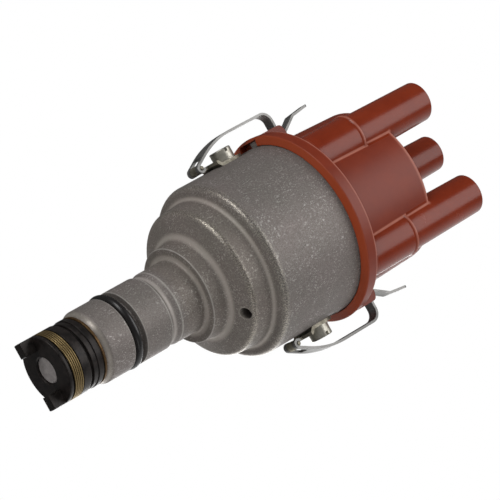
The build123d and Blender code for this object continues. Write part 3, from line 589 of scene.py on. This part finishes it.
# ---- cap --------------------------------------------------------------------------
# One compression moulding in red-brown resin: a bevelled rim, a matt drum, and glossier
# towers for the leads, four round the drum in sleeves and one in the centre.
def close_to(nodes, links, value, target, reach):
    """1 where a value equals its target, fading to 0 at reach."""
    off = arithmetic(nodes, links, "ABSOLUTE", arithmetic(nodes, links, "SUBTRACT", value, target))
    return below(nodes, links, off, reach * 0.3, reach)


tower_pitch = 0.0189
tower_foot_r = 0.00781
sleeve_foot_r = 0.00862
foot_reach = 0.00055
sleeve_top_z = 0.1246
bead_z = 0.1236
rim_top_z = 0.1033
drum_foot_r = 0.0301
drum_taper = 0.0323
junction_reach = 0.00060
bead_reach = 0.0006
# where a mask begins and ends, in metres
centre_tower_edge_r = (0.0078, 0.0082)
sleeve_edge_r = (0.0090, 0.0092)
towers_from_z = (0.1036, 0.1042)
junction_to_z = (0.1362, 0.1374)
bevel_to_z = (0.0981, 0.0986)
# (radius, height, reach) of the moulded edges that get a painted highlight, in mm: drum top, rim
# top, drum foot
moulded_edges = ((28.8, 136.3, 1.3), (35.6, 102.8, 0.6), (30.1, 103.4, 0.5))

resin, nodes, links, shader = new_finish("red_brown_resin", (0.150, 0.021, 0.008), 0.0, 0.33)
shader.inputs["Specular IOR Level"].default_value = 0.34
radius, height = turn_radius(nodes, links)
flow = speckle(nodes, links, 110.0, 4.0, 0.6)
fine = speckle(nodes, links, 1800.0, 2.0, 0.6)

# the feet of the outer towers, and what lies inside their sleeves
upper_part = above(nodes, links, height, sleeve_top_z - 0.0002, sleeve_top_z + 0.0002)
lower_part = arithmetic(nodes, links, "SUBTRACT", 1.0, upper_part)
feet = None
towers = None
for tower_x in (-tower_pitch, tower_pitch):
    for tower_y in (-tower_pitch, tower_pitch):
        far = axis_distance(nodes, links, tower_x, tower_y)
        sleeve_foot = both(nodes, links, lower_part,
                           close_to(nodes, links, far, sleeve_foot_r, foot_reach))
        tower_foot = both(nodes, links, upper_part,
                          close_to(nodes, links, far, tower_foot_r, foot_reach))
        foot = either(nodes, links, sleeve_foot, tower_foot)
        feet = foot if feet is None else either(nodes, links, feet, foot)
        sleeve = below(nodes, links, far, *sleeve_edge_r)
        towers = sleeve if towers is None else either(nodes, links, towers, sleeve)
towers = either(nodes, links, towers, below(nodes, links, radius, *centre_tower_edge_r))
towers = both(nodes, links, towers, above(nodes, links, height, *towers_from_z))

# a painted highlight line where those feet meet the tapered wall of the drum
rise = arithmetic(nodes, links, "SUBTRACT", height, rim_top_z)
upright_radius = arithmetic(nodes, links, "ADD", radius,
                            arithmetic(nodes, links, "MULTIPLY", rise, drum_taper))
junction_highlight = both(nodes, links, feet, close_to(nodes, links, upright_radius, drum_foot_r, junction_reach))
junction_highlight = both(nodes, links, junction_highlight, below(nodes, links, height, *junction_to_z))

# the junction lines, edges and beads get a paler painted highlight, and the rim's bevel is painted
# brighter orange, as lit from the side
edges = ring_mask(nodes, links, radius, height, *moulded_edges)
beads = both(nodes, links, towers, close_to(nodes, links, height, bead_z, bead_reach))
painted_highlights = either(nodes, links, junction_highlight, edges)
painted_highlights = either(nodes, links, painted_highlights, scaled(nodes, links, beads, 0.0, 0.6))
painted_highlights = both(nodes, links, painted_highlights, scaled(nodes, links, flow, 0.6, 1.1))
painted_lit_bevel = below(nodes, links, height, *bevel_to_z)
tone = ramp(nodes, links, flow, (0.3, (0.146, 0.0165, 0.0040)), (0.7, (0.178, 0.0222, 0.0056)))
# painted light: the rim's bevel brighter orange, as lit from the side
tone = tint(nodes, links, tone, painted_lit_bevel, 0.8, (0.27, 0.042, 0.010))
# painted highlight lines on the junctions, edges and beads
tone = tint(nodes, links, tone, painted_highlights, 0.80, (0.46, 0.19, 0.14))
links.new(tone, shader.inputs["Base Color"])
matt = scaled(nodes, links, flow, 0.39, 0.47)
gloss = scaled(nodes, links, towers, 0.0, 0.17)
links.new(arithmetic(nodes, links, "SUBTRACT", matt, gloss), shader.inputs["Roughness"])
relief(nodes, links, shader, fine, 0.05, 0.00008)
dress(resin, "cap")

# ---- clips ------------------------------------------------------------------------
# Two clips bent from bright spring strip, drawn along its length, which hook over the
# cap's lugs. The advance springs are of the same steel.
strip, nodes, links, shader = new_finish("bright_spring_strip", (0.23, 0.225, 0.22), 0.75, 0.45)
shader.inputs["Specular Tint"].default_value = (0.50, 0.50, 0.50, 1.0)
shader.inputs["Specular IOR Level"].default_value = 0.35
wear = speckle(nodes, links, 260.0, 3.0, 0.6, (1, 1, 0.08))
tone = ramp(nodes, links, wear, (0.3, (0.14, 0.137, 0.132)), (0.7, (0.26, 0.255, 0.247)))
links.new(tone, shader.inputs["Base Color"])
links.new(scaled(nodes, links, wear, 0.48, 0.36), shader.inputs["Roughness"])
dress(strip, "spring_clip_right", "spring_clip_left", "advance_springs", "brush_spring")

# ---- brush spring -----------------------------------------------------------------
# A coil of fine spring wire between the carbon brush and the top of its bore in the cap.
# The real spring closes up as the brush is pushed in; here it is one fixed coil on the housing.
brush_wire_r = 0.00028
brush_coil_r = 0.00185
brush_turns = 6
brush_top_z = 0.1210
bore_top_z = 0.1270
end_clearance = 0.00008
brush_gap = brush_wire_r + end_clearance
# how far the spring closes: the brush's travel of 2.0 mm, and 0.1 mm to stay clear of it
brush_climb = (bore_top_z - brush_top_z - 2 * brush_gap) / brush_turns
brush_coil = wind_coil("brush_coil_spring", brush_wire_r, brush_coil_r, brush_top_z + brush_gap,
                       brush_climb, brush_turns, sides=10, steps=32)
brush_coil.data.materials.append(strip)
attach(brush_coil, "housing")
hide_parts("brush_spring")
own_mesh(brush_coil)
